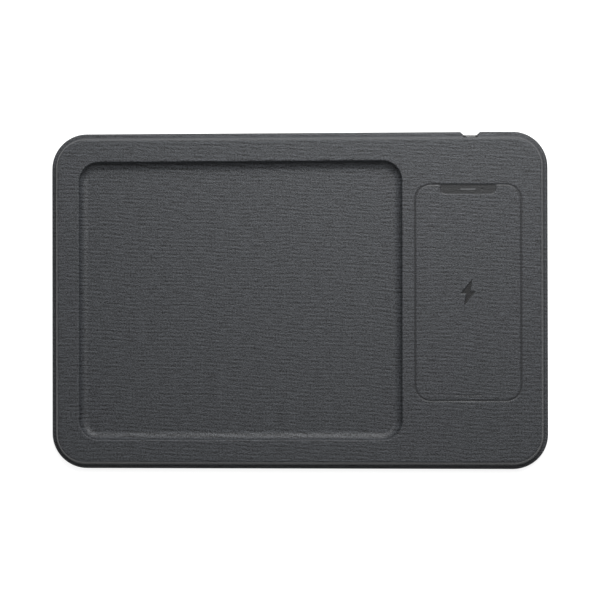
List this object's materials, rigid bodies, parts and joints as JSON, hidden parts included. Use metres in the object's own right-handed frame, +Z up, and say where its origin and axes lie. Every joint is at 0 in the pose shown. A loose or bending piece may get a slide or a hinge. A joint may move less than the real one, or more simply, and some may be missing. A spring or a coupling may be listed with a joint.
{
  "type": "wireless charging pad",
  "caption": "Slim fabric-covered desk pad with a rounded rectangular tray sunk in its left part, a phone-sized wireless charging place on its right and a USB-C socket at the back.",
  "frame": {"origin": "on the desk, under the middle of the pad's outline", "axes": "+X to the right along the pad's long side, +Y towards the back edge with the socket, +Z up"},
  "size_m": [0.328, 0.222, 0.0125],
  "materials": {
    "woven_skin": "dark grey polyurethane-coated cloth, pressed to shape, with a fine crosswise slub grain",
    "shell": "moulded black ABS",
    "cover": "moulded black ABS with a fine spark texture",
    "foot_rubber": "matte black silicone rubber",
    "screw_steel": "zinc-plated steel",
    "litz_copper": "lacquered copper litz wire",
    "ferrite": "dark grey sintered ferrite",
    "carrier": "natural white moulded plastic",
    "lead_sleeve": "red enamelled sleeve",
    "board": "green solder mask on glass-epoxy board",
    "chip": "black moulded epoxy",
    "inductor": "pressed dark grey ferrite body",
    "capacitor": "brown ceramic",
    "lamp": "clear resin over a white lamp",
    "thermal_pad": "soft blue silicone pad",
    "light_guide": "clear moulded acrylic with a frosted top",
    "bezel": "satin black ABS",
    "socket_steel": "nickel-plated deep-drawn steel"
  },
  "bodies": {
    "root": {"fabric_skin": "woven_skin", "upper_shell": "shell", "bottom_cover": "cover", "foot_front_left": "foot_rubber", "foot_front_middle": "foot_rubber", "foot_front_right": "foot_rubber", "foot_back_left": "foot_rubber", "foot_back_middle": "foot_rubber", "foot_back_right": "foot_rubber", "case_screw_front_left": "screw_steel", "case_screw_front_middle": "screw_steel", "case_screw_front_right": "screw_steel", "case_screw_back_left": "screw_steel", "case_screw_back_middle": "screw_steel", "case_screw_back_right": "screw_steel", "carrier_screw_1": "screw_steel", "carrier_screw_2": "screw_steel", "carrier_screw_3": "screw_steel", "carrier_screw_4": "screw_steel", "board_screw_1": "screw_steel", "board_screw_2": "screw_steel", "board_screw_3": "screw_steel", "board_screw_4": "screw_steel", "charging_coil": "litz_copper", "ferrite_sheet": "ferrite", "coil_carrier": "carrier", "coil_lead_inner": "lead_sleeve", "coil_lead_outer": "lead_sleeve", "circuit_board": "board", "controller_chip": "chip", "bridge_chip": "chip", "power_inductor": "inductor", "resonance_capacitor_1": "capacitor", "resonance_capacitor_2": "capacitor", "resonance_capacitor_3": "capacitor", "resonance_capacitor_4": "capacitor", "status_lamp": "lamp", "thermal_pad": "thermal_pad", "light_guide": "light_guide", "port_bezel": "bezel", "usb_socket": "socket_steel", "usb_tongue": "chip"}
  },
  "joints": []
}
